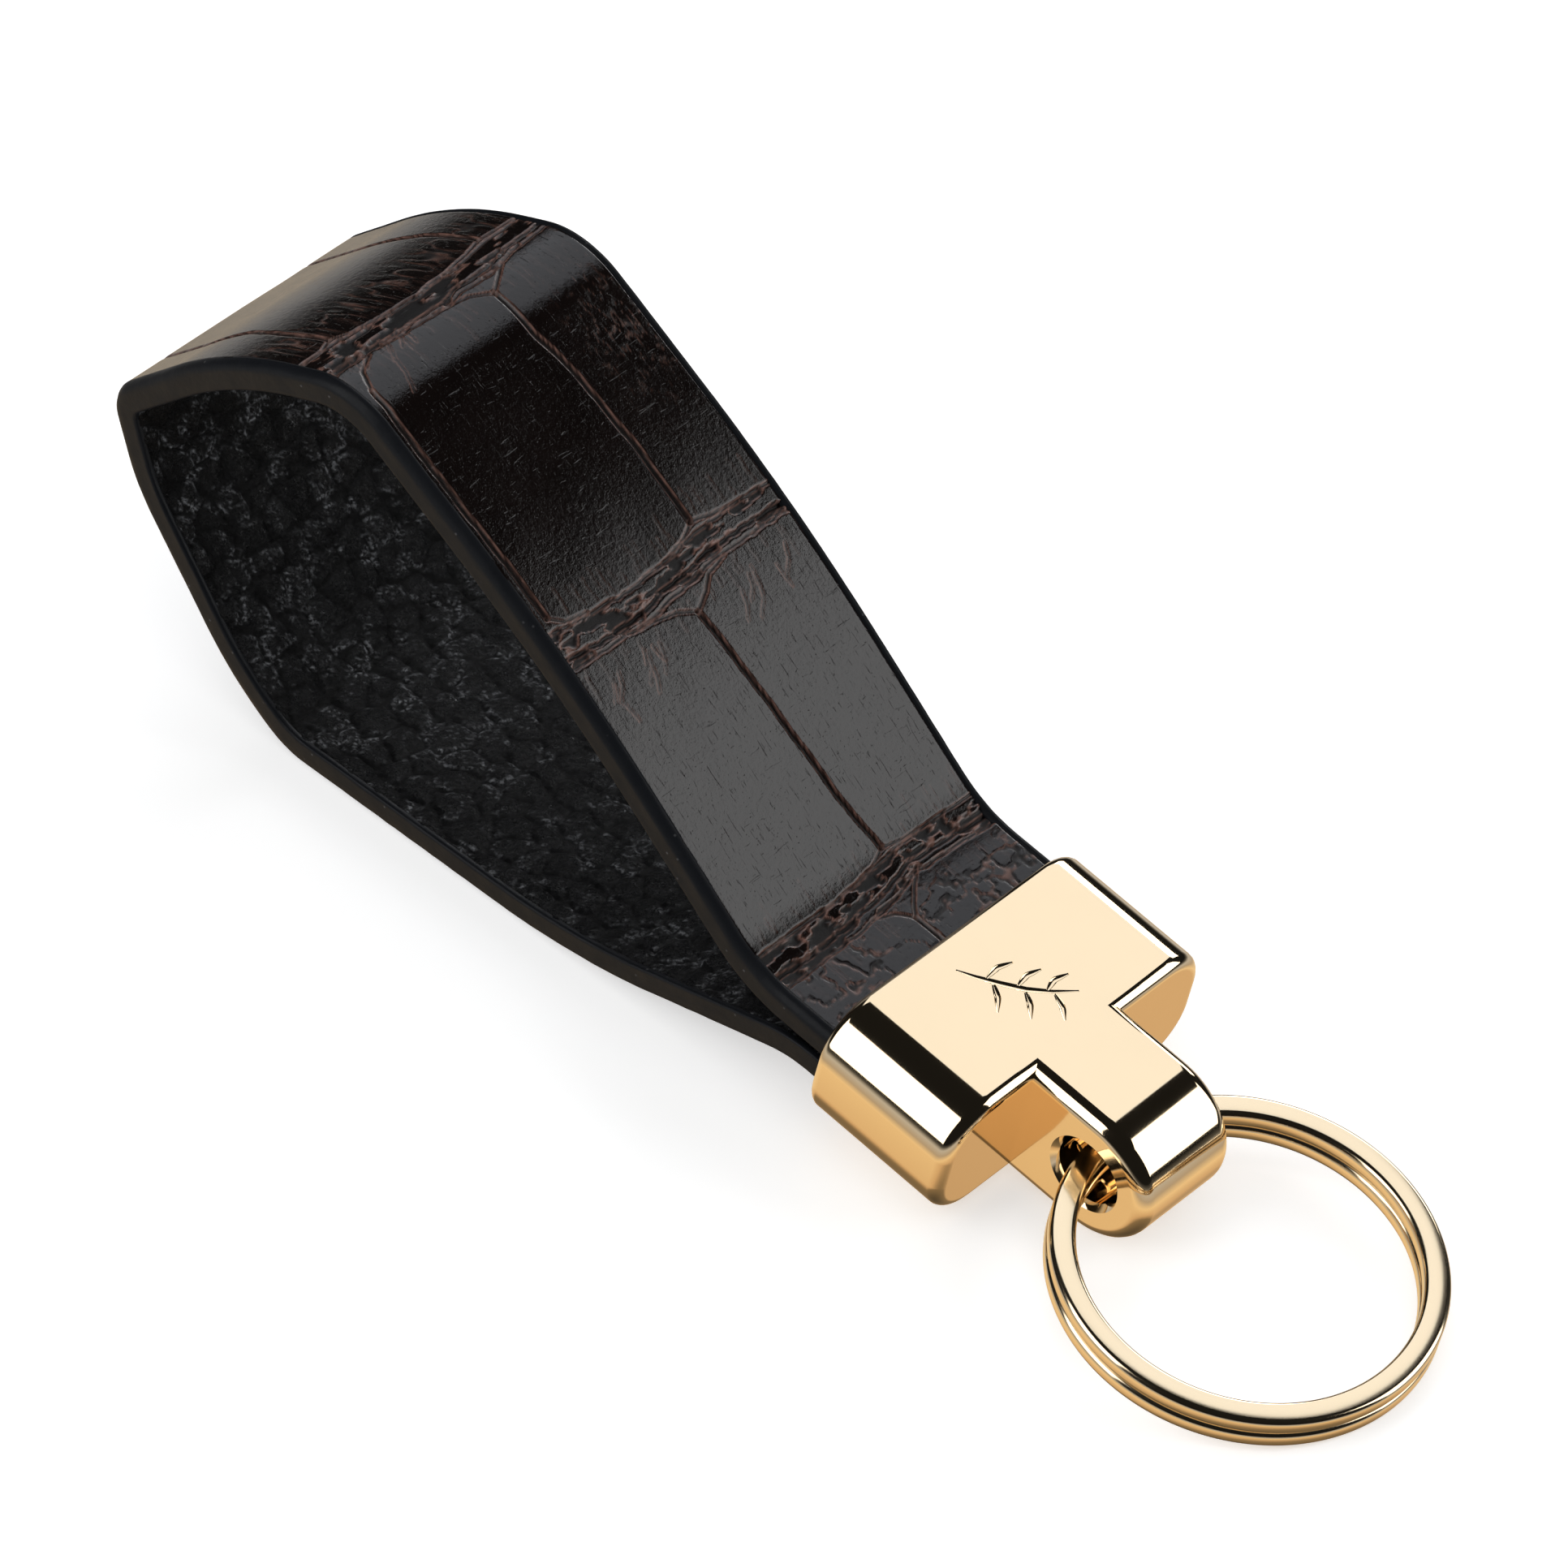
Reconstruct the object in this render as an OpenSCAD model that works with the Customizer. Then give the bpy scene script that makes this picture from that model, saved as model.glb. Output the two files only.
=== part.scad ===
// Wristlet key holder: a folded leather loop strap held in a T-shaped metal clamp,
// with a split ring swinging in the clamp's cross hole.
// Millimetres. X runs from the loop's tip to the ring, Y across the strap, Z up.
// It lies on Z = 0, on the strap's back run, the clamp's knuckle and the ring's far rim.
// The origin is the middle of the strap's flat stretch. Lengths along X in the parameters
// are measured from the hinge axis, negative towards the strap.

/* [Strap] */
// Width of the strap over its painted edges
strap_width = 25.6; // [18:0.1:25.8]
// How far the strap and the crossbar sit to one side of the tongue's centre
side_shift = 0.4; // [0:0.1:0.6]
// Thickness of the embossed outer leather
outer_thick = 1.0; // [0.6:0.05:1.6]
// Thickness of the reinforcing core
core_thick = 0.5; // [0.2:0.05:1.0]
// Thickness of the grained lining
lining_thick = 0.9; // [0.5:0.05:1.4]
// Thickness of the edge paint on each cut edge
paint_thick = 0.5; // [0.2:0.05:0.8]
// Gap between the two plies where they meet in the clamp
ply_gap = 0.8; // [0.05:0.05:1.0]

/* [Loop shape] */
// Where the upper run starts to rise
upper_rise_x = -27.5; // [-34:0.1:-22]
// Where the arch of the upper run begins
arch_x = -48.4; // [-56:0.1:-42]
// Height of the arch there
arch_z = 27.9; // [20:0.1:34]
// Position of the upper bend
upper_bend_x = -70.6; // [-80:0.1:-62]
// Height of the upper bend
upper_bend_z = 40.0; // [30:0.1:46]
// Position of the loop's folded tip
tip_x = -93.6; // [-104:0.1:-84]
// Height of the tip above the surface it lies on
tip_z = 23.8; // [16:0.1:30]
// Position of the lower bend
lower_bend_x = -74.7; // [-84:0.1:-66]
// Where the flat stretch on the surface ends
flat_end_x = -44.5; // [-56:0.1:-34]
// Bend radius of the leather at the upper and lower bends
bend_r = 7.5; // [4:0.5:14]
// Bend radius of the leather at the creased tip
tip_r = 2.2; // [1.6:0.1:5]

/* [Clamp] */
// Width of the crossbar
bar_width = 28.4; // [27.9:0.1:36]
// Thickness of the clamp, front face to back face
clamp_thick = 11.8; // [9:0.1:14]
// Length of the crossbar from its mouth to the tongue
bar_length = 13.2; // [10:0.1:18]
// Radius of the crossbar's long rounded corners
bar_corner = 4.5; // [2:0.1:5.5]
// Width of the tongue
tongue_width = 10.0; // [8:0.1:14]
// Distance from the hinge axis to the crossbar's ring-side face
tongue_reach = 6.3; // [6:0.1:10]
// Chamfer on the tongue's long edges
tongue_chamfer = 0.9; // [0.3:0.1:1.5]
// Radius of the cross hole the ring hangs in
hole_r = 2.8; // [2.4:0.05:3.2]
// Chamfer round each mouth of the cross hole
hole_chamfer = 0.6; // [0.2:0.1:1.0]
// Slope of the clamp when the holder lies at rest, in degrees
clamp_tilt = 7.3; // [4:0.1:10]

/* [Screws] */
// Spacing of the two retaining screws across the clamp
screw_spacing = 14.0; // [10:0.5:18]
// Distance of the screws from the hinge axis
screw_x = -14.8; // [-17:0.1:-12]
// Radius of the screw shank
screw_r = 1.25; // [1:0.05:1.5]
// Radius of the countersunk head
head_r = 2.3; // [1.8:0.1:2.8]

/* [Split ring] */
// Outer radius of the ring
ring_r = 15.0; // [12:0.1:18]
// Width of the flat wire, measured along the ring's radius
wire_width = 2.04; // [1.5:0.02:2.6]
// Height of the flat wire of one coil
wire_height = 1.46; // [1.1:0.02:1.8]
// Gap between the two coils
coil_gap = 0.08; // [0.04:0.02:0.3]
// Chamfer on the corners of the wire
wire_chamfer = 0.35; // [0.1:0.05:0.6]
// Angle taken by the crossing from one coil to the other
crossing_angle = 18; // [12:1:30]
// Where the crossing sits round the ring, counted from the far rim
crossing_at = 172; // [0:1:359]
// How far the ring has slid sideways in the hole
ring_shift = -1.4; // [-1.8:0.1:1.8]
// How far the wire lies below the centre of the hole
wire_drop = 0.5; // [0:0.1:0.8]

/* [Hidden] */
$fn = 48;
strap_thick = outer_thick + core_thick + lining_thick;
half_t = strap_thick / 2;
hinge_z = clamp_thick / 2;
mouth_x = -tongue_reach - bar_length;
ply_z = half_t + ply_gap / 2;
slot_half_z = 2 * half_t + ply_gap / 2 + 0.05;
slot_half_y = strap_width / 2 + 0.1;
slot_end_x = -tongue_reach - 3.4;
cut_y = strap_width / 2 - paint_thick;

// a point given in the clamp's own directions, measured from the hinge axis
function clamp_point(x, z) =
    [x * cos(clamp_tilt) + z * sin(clamp_tilt),
     z * cos(clamp_tilt) - x * sin(clamp_tilt) + hinge_z];

// corners of the strap's centre line seen from the side: [point, bend radius]
loop = [
    [clamp_point(slot_end_x - 0.3, ply_z), 0],
    [clamp_point(upper_rise_x, ply_z), 12],
    [[arch_x, arch_z], 140],
    [[upper_bend_x, upper_bend_z], bend_r],
    [[tip_x + 10.9, tip_z + 10.9], 38],
    [[tip_x, tip_z], tip_r],
    [[tip_x + 2.7, tip_z - 6.8], 16],
    [[lower_bend_x - 5.7, half_t + 3.4], 26],
    [[lower_bend_x, half_t], bend_r],
    [[flat_end_x, half_t], 60],
    [clamp_point(mouth_x - 3.4, -ply_z), 12],
    [clamp_point(slot_end_x - 0.3, -ply_z), 0]
];
last = len(loop) - 1;
bend_step = 3;

function unit(v) = v / norm(v);
function right_of(d) = [d[1], -d[0]];
function turned(v, a) = [v[0] * cos(a) - v[1] * sin(a), v[0] * sin(a) + v[1] * cos(a)];
function step_in(i) = loop[i][0] - loop[i - 1][0];
function turn(i) =
    let (a = step_in(i), b = step_in(i + 1)) atan2(a[0] * b[1] - a[1] * b[0], a * b);
function trim(i) = loop[i][1] * tan(abs(turn(i)) / 2);

// the points of one bend, each with the direction that faces out of the loop
function bend(i) =
    let (
        d = unit(step_in(i)),
        r = loop[i][1] * sign(turn(i)),
        centre = loop[i][0] - d * trim(i) - r * right_of(d),
        steps = ceil(abs(turn(i)) / bend_step)
    )
    [for (k = [0 : steps])
        let (n = turned(right_of(d), turn(i) * k / steps)) [centre + r * n, n]];

route = concat(
    [[loop[0][0], right_of(unit(step_in(1)))]],
    [for (i = [1 : last - 1]) each bend(i)],
    [[loop[last][0], right_of(unit(step_in(last)))]]
);

// the origin is the middle of the strap's flat stretch, so the hinge axis lies this far along X
hinge_x = -(lower_bend_x + trim(8) + flat_end_x - trim(9)) / 2;

// ring geometry: it hangs in the hole and its far rim rests on the surface
ring_mean_r = ring_r - wire_width / 2;
ring_half_h = wire_height + coil_gap / 2;
rest_reach = ring_mean_r + ring_r - wire_chamfer;
near_z = hinge_z - wire_drop;
ring_tilt = asin(near_z / norm([rest_reach, ring_half_h])) - atan(ring_half_h / rest_reach);
near_x = -0.68;

module placed() translate([hinge_x, 0, 0]) children();

module in_clamp() placed() translate([0, 0, hinge_z]) rotate([0, clamp_tilt, 0]) children();

// one layer of the strap: between two depths from the centre line, and two places across
module layer(inner, outer, y1, y2) {
    placed() translate([0, y2 + side_shift, 0]) rotate([90, 0, 0])
        linear_extrude(height = y2 - y1)
            polygon(concat(
                [for (p = route) p[0] + p[1] * outer],
                [for (i = [len(route) - 1 : -1 : 0]) route[i][0] + route[i][1] * inner]));
}

// the holes punched through both plies for the screws
module screw_holes(r) {
    in_clamp() for (s = [-1, 1]) translate([screw_x, side_shift + s * screw_spacing / 2, -hinge_z])
        cylinder(r = r, h = clamp_thick);
}

module strap_outer() {
    color([0.14, 0.10, 0.09]) difference() {
        layer(half_t - outer_thick, half_t, -cut_y, cut_y);
        screw_holes(screw_r + 0.1);
    }
}

module strap_core() {
    color([0.45, 0.40, 0.34]) difference() {
        layer(lining_thick - half_t, half_t - outer_thick, -cut_y, cut_y);
        screw_holes(screw_r + 0.1);
    }
}

module strap_lining() {
    color([0.05, 0.05, 0.06]) difference() {
        layer(-half_t, lining_thick - half_t, -cut_y, cut_y);
        screw_holes(screw_r + 0.1);
    }
}

module edge_paint_left() {
    color([0.11, 0.11, 0.12]) layer(-half_t, half_t, cut_y, strap_width / 2);
}

module edge_paint_right() {
    color([0.11, 0.11, 0.12]) layer(-half_t, half_t, -strap_width / 2, -cut_y);
}

// the crossbar: a flat tube with long rounded corners
module crossbar() {
    y = bar_width / 2 - bar_corner;
    z = clamp_thick / 2 - bar_corner;
    translate([mouth_x, side_shift, 0]) {
        for (a = [-y, y], b = [-z, z])
            translate([0, a, b]) rotate([0, 90, 0]) cylinder(r = bar_corner, h = bar_length);
        translate([0, -y, -clamp_thick / 2]) cube([bar_length, 2 * y, clamp_thick]);
        translate([0, -bar_width / 2, -z]) cube([bar_length, bar_width, 2 * z]);
    }
}

// the tongue with its round knuckle, all edges chamfered
module tongue() {
    w = tongue_width / 2;
    r = clamp_thick / 2;
    c = tongue_chamfer;
    rotate([90, 0, 0]) rotate_extrude($fn = 96)
        polygon([[0, -w], [r - c, -w], [r, c - w], [r, w - c], [r - c, w], [0, w]]);
    translate([-tongue_reach - 1, 0, 0]) rotate([90, 0, 90])
        linear_extrude(height = tongue_reach + 1) polygon([
            [-w, c - r], [c - w, -r], [w - c, -r], [w, c - r],
            [w, r - c], [w - c, r], [c - w, r], [-w, r - c]]);
}

module clamp() {
    w = tongue_width / 2;
    color([0.86, 0.66, 0.34]) in_clamp() difference() {
        union() {
            crossbar();
            tongue();
        }
        // slot for the two plies
        translate([mouth_x - 1, side_shift - slot_half_y, -slot_half_z])
            cube([slot_end_x - mouth_x + 1, 2 * slot_half_y, 2 * slot_half_z]);
        // cross hole, with a chamfer round each mouth
        rotate([90, 0, 0]) cylinder(r = hole_r, h = tongue_width + 1, center = true);
        for (s = [-1, 1]) rotate([90 * s, 0, 0]) translate([0, 0, w - hole_chamfer])
            cylinder(r1 = hole_r, r2 = hole_r + hole_chamfer + 0.1, h = hole_chamfer + 0.1);
        // countersunk screw holes from the back, tapped blind into the front wall
        for (s = [-1, 1]) translate([screw_x, side_shift + s * screw_spacing / 2, -clamp_thick / 2]) {
            translate([0, 0, -1]) cylinder(r = screw_r + 0.02, h = clamp_thick - 0.3);
            cylinder(r1 = head_r + 0.02, r2 = screw_r + 0.02, h = head_r - screw_r);
            translate([0, 0, -1]) cylinder(r = head_r + 0.02, h = 1.001);
        }
    }
}

module clamp_screws() {
    tip = clamp_thick - 1.6;
    color([0.78, 0.60, 0.32]) in_clamp() for (s = [-1, 1])
        translate([screw_x, side_shift + s * screw_spacing / 2, -clamp_thick / 2]) difference() {
            rotate_extrude() polygon([[0, 0], [head_r, 0], [screw_r, head_r - screw_r],
                [screw_r, tip - 0.3], [screw_r - 0.3, tip], [0, tip]]);
            translate([-head_r - 1, -0.3, -1]) cube([2 * head_r + 2, 0.6, 1.6]);
        }
}

// the flat wire's section at radius ring_mean_r, its lower face at height low
module wire_section(low, inset = 0) {
    w = wire_width / 2 - inset;
    c = wire_chamfer;
    a = low + inset;
    b = low + wire_height - inset;
    translate([ring_mean_r, 0]) polygon([
        [c - w, a], [w - c, a], [w, a + c], [w, b - c],
        [w - c, b], [c - w, b], [-w, b - c], [-w, a + c]]);
}

// a thin slice of the wire, turned to an angle round the ring
module wire_slice(angle, low) {
    rotate([90, 0, angle]) linear_extrude(height = 0.05, center = true)
        wire_section(low, 0.05);
}

module split_ring() {
    low = -ring_half_h;
    high = coil_gap / 2;
    half = crossing_angle / 2;
    color([0.90, 0.72, 0.42]) placed() translate([near_x, ring_shift, near_z])
        rotate([0, ring_tilt, 0]) translate([ring_mean_r, 0, 0]) rotate([0, 0, crossing_at]) {
            for (z = [low, high]) rotate([0, 0, half])
                rotate_extrude(angle = 360 - crossing_angle, $fn = 120) wire_section(z);
            // the crossing climbs from the end of one coil to the start of the other
            hull() {
                wire_slice(-half - 1, low);
                wire_slice(half + 1, high);
            }
        }
}

clamp();
clamp_screws();
strap_outer();
strap_core();
strap_lining();
edge_paint_left();
edge_paint_right();
split_ring();
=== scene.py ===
"""Wristlet key holder: the looks of every piece, and the studio round it.

Lengths are in metres, unless a name ends in _mm. The strap is described in its own
coordinates: "along" runs from the upper ply in the clamp, round the loop, to the lower ply,
"across" runs over its width, and "out" is the distance from its centre line.
"""

from math import asin, atan, atan2, copysign, cos, hypot, pi, radians, sin, tan

import bmesh
import bpy
import numpy as np
from bpy.props import FloatProperty, FloatVectorProperty, PointerProperty
from bpy.types import Operator, Panel, PropertyGroup
from mathutils import Matrix, Vector


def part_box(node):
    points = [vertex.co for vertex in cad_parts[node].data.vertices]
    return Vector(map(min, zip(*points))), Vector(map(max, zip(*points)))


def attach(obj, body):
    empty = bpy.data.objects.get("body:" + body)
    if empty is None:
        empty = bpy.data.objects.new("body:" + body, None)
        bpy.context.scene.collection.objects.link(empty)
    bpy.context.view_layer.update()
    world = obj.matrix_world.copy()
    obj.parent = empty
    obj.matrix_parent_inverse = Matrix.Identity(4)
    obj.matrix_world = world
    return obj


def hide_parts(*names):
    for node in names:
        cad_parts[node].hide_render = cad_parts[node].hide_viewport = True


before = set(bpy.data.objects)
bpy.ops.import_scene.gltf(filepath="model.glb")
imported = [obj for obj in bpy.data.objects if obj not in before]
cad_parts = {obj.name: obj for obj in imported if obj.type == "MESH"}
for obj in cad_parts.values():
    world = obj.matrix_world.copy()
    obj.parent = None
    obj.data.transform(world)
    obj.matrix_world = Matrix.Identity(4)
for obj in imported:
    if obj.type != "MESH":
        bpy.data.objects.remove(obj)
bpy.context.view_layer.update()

bl_info = {
    "name": "Wristlet Key Holder",
    "version": (1, 0, 0),
    "blender": (4, 5, 0),
    "location": "View3D > Sidebar > Key Holder",
    "description": "Builds a leather wristlet with a gold clamp and a split ring",
    "category": "Add Mesh",
}

MM = 0.001
STRAP_BODY = "strap_and_clamp"
RING_BODY = "ring"
# slope of the clamp at rest, and the axis on which the ring swings
CLAMP_TILT = radians(7.3)
HINGE_Z_MM = 5.9
HINGE = Vector((62.674 * MM, 0, HINGE_Z_MM * MM))
# the strap and the crossbar sit a little to one side of the tongue's centre
SIDE_SHIFT_MM = (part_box("strap_core")[0][1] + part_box("strap_core")[1][1]) / 2 / MM


# ---------------- sizes and colours


def length_setting(name, description, default):
    return FloatProperty(name=name, description=description, default=default, unit="LENGTH")


def angle_setting(name, description, default):
    return FloatProperty(name=name, description=description, default=default, subtype="ANGLE")


def colour_setting(name, description, default):
    return FloatVectorProperty(name=name, description=description, default=default, subtype="COLOR")


class StrapSettings(PropertyGroup):
    width: length_setting(
        "Width", "Width over the painted edges",
        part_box("edge_paint_left")[1][1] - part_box("edge_paint_right")[0][1])
    outer_thick: length_setting("Outer leather", "Thickness of the embossed leather", 1.0 * MM)
    core_thick: length_setting("Core", "Thickness of the reinforcing board", 0.5 * MM)
    lining_thick: length_setting("Lining", "Thickness of the lining", 0.9 * MM)
    rim: length_setting("Painted rim", "How far the edge paint reaches over the leather", 0.6 * MM)
    arris: length_setting("Arris", "Rounding of the outer arris", 0.85 * MM)
    pebble: length_setting("Pebble", "Size of one pebble in the lining's grain", 2.7 * MM)
    leather_color: colour_setting(
        "Embossed leather", "Colour of the embossed leather", (0.0046, 0.0030, 0.0027))
    rub_color: colour_setting(
        "Rubbed leather", "Colour where the finish is worn thin", (0.25, 0.130, 0.100))
    # painted shade: this colour darkens the bottoms of the creases, pits and cracks where shade falls
    pit_shade_color: colour_setting("Pits", "Colour in the bottom of the creases", (0.0022, 0.0010, 0.0008))
    lining_color: colour_setting("Lining leather", "Colour of the lining", (0.0030, 0.0032, 0.0037))
    paint_color: colour_setting("Edge paint", "Colour of the edge paint", (0.0066, 0.0074, 0.0092))


class ClampSettings(PropertyGroup):
    tilt: angle_setting("Tilt", "Slope of the clamp at rest", CLAMP_TILT)
    width: length_setting(
        "Width", "Width of the crossbar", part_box("clamp")[1][1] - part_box("clamp")[0][1])
    thick: length_setting("Thickness", "Front face to back face", 11.8 * MM)
    length: length_setting("Crossbar length", "From the mouth to the tongue", 13.2 * MM)
    reach: length_setting("Tongue reach", "From the crossbar to the hinge axis", 6.3 * MM)
    corner: length_setting("Corner", "Radius of the crossbar's long corners", 4.5 * MM)
    fillet: length_setting("Fillet", "Rounding of the crossbar's ring-side edges", 1.0 * MM)
    mouth_fillet: length_setting(
        "Mouth fillet", "Rounding of the crossbar's edges round the strap", 0.85 * MM)
    tongue_width: length_setting("Tongue width", "Width of the tongue", 10.0 * MM)
    chamfer: length_setting("Rounding", "Rounding along the tongue", 1.25 * MM)
    hole: length_setting("Hole", "Radius of the cross hole", 2.8 * MM)
    gold: colour_setting("Gold", "Colour of the light gold plate", (1.0, 0.80, 0.53))


class RingSettings(PropertyGroup):
    radius: length_setting("Radius", "Outer radius of the split ring", 15.0 * MM)
    wire_width: length_setting("Wire width", "Width of the flat wire", 2.04 * MM)
    wire_height: length_setting("Wire height", "Height of one coil", 1.46 * MM)
    gap: length_setting("Gap", "Gap between the coils", 0.08 * MM)
    corner: length_setting("Corner", "Rounding of the wire's corners", 0.42 * MM)
    crossing: angle_setting("Crossing", "Angle taken by the crossing", radians(18))
    crossing_at: angle_setting(
        "Crossing place", "Where the crossing sits, counted from the far rim", radians(172))
    gold: colour_setting("Ring gold", "Colour of the ring's plate", (1.0, 0.82, 0.56))


class StudioSettings(PropertyGroup):
    azimuth: angle_setting("Azimuth", "Camera's place round the object", radians(38.7))
    elevation: angle_setting("Elevation", "Camera's height above the horizon", radians(44.7))
    roll: angle_setting("Roll", "Camera's roll", radians(5.83))
    distance: length_setting("Distance", "Camera to target", 748.5 * MM)
    lens: FloatProperty(name="Lens", description="Focal length in millimetres", default=233.0)
    floor: colour_setting("Floor", "Colour of the floor", (0.92, 0.92, 0.92))


# ---------------- noise and small helpers


def lattice_noise(x, y, seed):
    """Smooth random values from -1 to 1 over a plane, one knot per unit."""
    repeat = 128
    rng = np.random.default_rng(seed)
    knots = rng.uniform(-1, 1, (repeat, repeat))
    xi, yi = np.floor(x).astype(int), np.floor(y).astype(int)
    fx, fy = x - xi, y - yi
    fx, fy = fx * fx * (3 - 2 * fx), fy * fy * (3 - 2 * fy)
    left, right, low, high = xi % repeat, (xi + 1) % repeat, yi % repeat, (yi + 1) % repeat
    a, b, c, d = knots[left, low], knots[right, low], knots[left, high], knots[right, high]
    return (a * (1 - fx) + b * fx) * (1 - fy) + (c * (1 - fx) + d * fx) * fy


def rough_noise(x, y, seed, octaves=3):
    """Lattice noise with finer layers added, within -1 to 1."""
    three_layers = 1.75
    total = np.zeros(np.broadcast(x, y).shape)
    for k in range(octaves):
        total = total + lattice_noise(x * 2 ** k, y * 2 ** k, seed + k) / 2 ** k
    return total / three_layers


def cell_distances(x, y, seed):
    """Distance to the nearest and second nearest of jittered points, one per unit square."""
    repeat = 64
    far = 9.0
    rng = np.random.default_rng(seed)
    jitter = rng.uniform(0.12, 0.88, (repeat, repeat, 2))
    xi, yi = np.floor(x).astype(int), np.floor(y).astype(int)
    near = np.full(x.shape, far)
    second = np.full(x.shape, far)
    for i in (-1, 0, 1):
        for j in (-1, 0, 1):
            p = jitter[(xi + i) % repeat, (yi + j) % repeat]
            d = np.hypot(xi + i + p[..., 0] - x, yi + j + p[..., 1] - y)
            second = np.where(d < near, near, np.minimum(second, d))
            near = np.minimum(near, d)
    return near, second


def smooth_step(low, high, x):
    t = np.clip((x - low) / (high - low), 0, 1)
    return t * t * (3 - 2 * t)


def bell(x, width):
    return np.exp(-((x / width) ** 2))


def new_object(name, vertices, faces, attributes=None):
    """A mesh object from arrays, with one float attribute per name at its vertices."""
    mesh = bpy.data.meshes.new(name)
    mesh.from_pydata([tuple(v) for v in vertices], [], [tuple(f) for f in faces])
    mesh.validate()
    for key, values in (attributes or {}).items():
        layer = mesh.attributes.new(key, "FLOAT", "POINT")
        layer.data.foreach_set("value", np.asarray(values, np.float32).ravel())
    mesh.shade_smooth()
    obj = bpy.data.objects.new(name, mesh)
    bpy.context.scene.collection.objects.link(obj)
    return obj


def outward_normals(obj):
    """Turns every face of a closed mesh to face outwards."""
    bm = bmesh.new()
    bm.from_mesh(obj.data)
    bmesh.ops.recalc_face_normals(bm, faces=bm.faces)
    bm.to_mesh(obj.data)
    bm.free()


def grid_faces(rows, columns, closed=False):
    """Quads of a grid stored row by row; closed joins the last column to the first."""
    last = columns if closed else columns - 1
    r, c = np.meshgrid(np.arange(rows - 1), np.arange(last), indexing="ij")
    a = r * columns + c
    b = r * columns + (c + 1) % columns
    return np.stack([a, b, b + columns, a + columns], -1).reshape(-1, 4).tolist()


def tube(name, sections):
    """A closed solid through a row of equal outlines, capped at both ends."""
    sections = np.asarray(sections)
    rows, columns = sections.shape[:2]
    faces = grid_faces(rows, columns, closed=True)
    faces.append(list(range(columns)))
    faces.append(list(range((rows - 1) * columns, rows * columns)))
    obj = new_object(name, sections.reshape(-1, 3), faces)
    outward_normals(obj)
    return obj


def apply_modifiers(obj):
    depsgraph = bpy.context.evaluated_depsgraph_get()
    mesh = bpy.data.meshes.new_from_object(obj.evaluated_get(depsgraph))
    obj.modifiers.clear()
    obj.data = mesh


# ---------------- the strap's path


def clamp_point(x, z):
    """A side-view point given in the clamp's own directions, from the hinge axis."""
    c, s = cos(CLAMP_TILT), sin(CLAMP_TILT)
    return (x * c + z * s, z * c - x * s + HINGE_Z_MM)


# corners of the centre line in side view, in millimetres from the hinge axis, with bend radii
LOOP_MM = (
    (clamp_point(-10.0, 1.6), 0),
    (clamp_point(-27.5, 1.6), 12),
    ((-48.4, 27.9), 140),
    ((-70.6, 40.0), 7.5),
    ((-82.7, 34.7), 38),
    ((-93.6, 23.8), 2.2),
    ((-90.9, 17.0), 16),
    ((-80.4, 4.6), 26),
    ((-74.7, 1.2), 7.5),
    ((-44.5, 1.2), 60),
    (clamp_point(-22.9, -1.6), 12),
    (clamp_point(-10.0, -1.6), 0),
)
STEPS_PER_STRETCH = 60


class Path:
    """The centre line as straight runs and bends; answers place and outward direction."""

    def __init__(self):
        points = [np.array(p) for p, _ in LOOP_MM]
        radii = [r for _, r in LOOP_MM]
        place, out = [], []
        start = points[0]
        for i in range(1, len(points)):
            run = points[i] - points[i - 1]
            run = run / np.linalg.norm(run)
            turn = trim = 0
            if i < len(points) - 1:
                after = points[i + 1] - points[i]
                turn = atan2(run[0] * after[1] - run[1] * after[0], run @ after)
                trim = radii[i] * tan(abs(turn) / 2)
            end = points[i] - run * trim
            side = np.array([run[1], -run[0]])
            for t in np.linspace(0, 1, STEPS_PER_STRETCH, endpoint=False):
                place.append(start + (end - start) * t)
                out.append(side)
            sign = copysign(1, turn)
            centre = end - sign * radii[i] * side
            for a in np.linspace(0, turn, STEPS_PER_STRETCH) if turn else ():
                n = np.array([side[0] * cos(a) - side[1] * sin(a),
                              side[0] * sin(a) + side[1] * cos(a)])
                place.append(centre + sign * radii[i] * n)
                out.append(n)
            start = place[-1] if turn else end
        place.append(points[-1])
        out.append(side)
        self.place = np.array(place)
        self.out = np.array(out)
        steps = np.linalg.norm(np.diff(self.place, axis=0), axis=1)
        self.along = np.concatenate([[0], np.cumsum(steps)])
        self.length = self.along[-1]

    def at(self, along, across, out):
        """Points in metres from strap coordinates in millimetres."""
        px, pz = (np.interp(along, self.along, self.place[:, k]) for k in (0, 1))
        nx, nz = (np.interp(along, self.along, self.out[:, k]) for k in (0, 1))
        size = np.hypot(nx, nz)
        x = px + out * nx / size + HINGE.x / MM
        z = pz + out * nz / size
        return np.stack(np.broadcast_arrays(x, across + SIDE_SHIFT_MM, z), -1) * MM


PATH = Path()


# ---------------- the embossed pattern

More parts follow.
